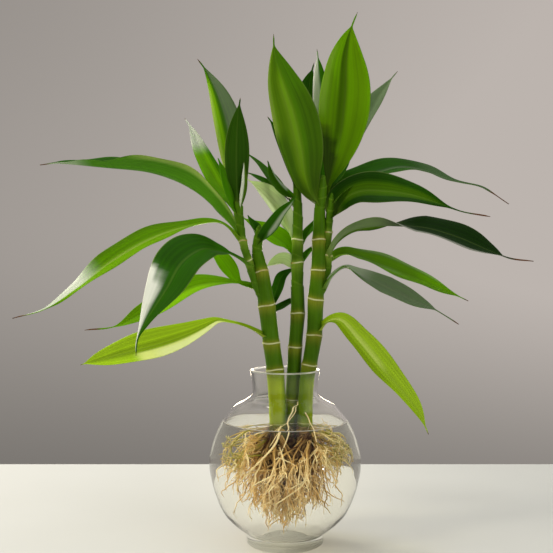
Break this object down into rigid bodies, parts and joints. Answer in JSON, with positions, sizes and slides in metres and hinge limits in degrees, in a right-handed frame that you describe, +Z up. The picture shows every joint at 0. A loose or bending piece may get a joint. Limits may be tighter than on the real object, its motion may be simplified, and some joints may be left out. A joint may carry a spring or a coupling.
{
  "type": "lucky bamboo in a glass vase",
  "caption": "Lucky bamboo: upright ringed canes with long pointed arching leaves, standing on their roots in water in a round clear glass vase.",
  "frame": {"origin": "middle of the vase's flat foot, on the surface it stands on", "axes": "+Z up the vase's axis of turning, -Y towards the viewer of the plant's best side, +X to that viewer's right"},
  "size_m": [0.3985, 0.1496, 0.4222],
  "materials": {
    "glass": "polished",
    "water": "polished",
    "cane": "satin",
    "sheath": "satin",
    "leaf_deep": "satin",
    "leaf_mid": "satin",
    "leaf_bright": "satin",
    "leaf_lime": "satin",
    "leaf_pale": "satin",
    "root": "matte"
  },
  "bodies": {
    "root": {"vase": "glass", "water": "water", "cane_left": "cane", "cane_middle": "cane", "cane_right": "cane", "shoot_left": "sheath", "sheath_left": "sheath", "shoot_middle": "sheath", "sheath_right": "sheath", "shoot_right": "sheath", "leaf_left_high_sweep": "leaf_deep", "leaf_left_low_sweep": "leaf_bright", "leaf_left_drooping": "leaf_deep", "leaf_left_curl": "leaf_bright", "leaf_left_back_sweep": "leaf_bright", "leaf_left_lowest": "leaf_lime", "leaf_left_spear": "leaf_mid", "leaf_left_bud": "leaf_mid", "leaf_left_tall_back": "leaf_mid", "leaf_left_tall_front": "leaf_deep", "leaf_left_rolled": "leaf_mid", "leaf_top_left_front": "leaf_deep", "leaf_top_left_back": "leaf_deep", "leaf_left_inner_arch": "leaf_deep", "leaf_left_inner_small": "leaf_deep", "leaf_middle_pale": "leaf_pale", "leaf_middle_arch": "leaf_deep", "leaf_middle_back": "leaf_mid", "leaf_middle_point": "leaf_mid", "leaf_middle_short_pale": "leaf_pale", "leaf_middle_bright": "leaf_bright", "leaf_middle_right": "leaf_mid", "leaf_middle_right_low": "leaf_mid", "leaf_middle_tall": "leaf_deep", "leaf_middle_rising": "leaf_deep", "leaf_right_tall_front": "leaf_mid", "leaf_right_tall_back": "leaf_bright", "leaf_right_short": "leaf_deep", "leaf_right_up_back": "leaf_mid", "leaf_right_rolled": "leaf_deep", "leaf_right_high_sweep": "leaf_deep", "leaf_right_second_sweep": "leaf_deep", "leaf_right_twisted": "leaf_deep", "leaf_right_bright": "leaf_bright", "leaf_right_grey": "leaf_mid", "leaf_right_hanging": "leaf_lime", "roots_left": "root", "roots_middle": "root", "roots_right": "root"}
  },
  "joints": []
}
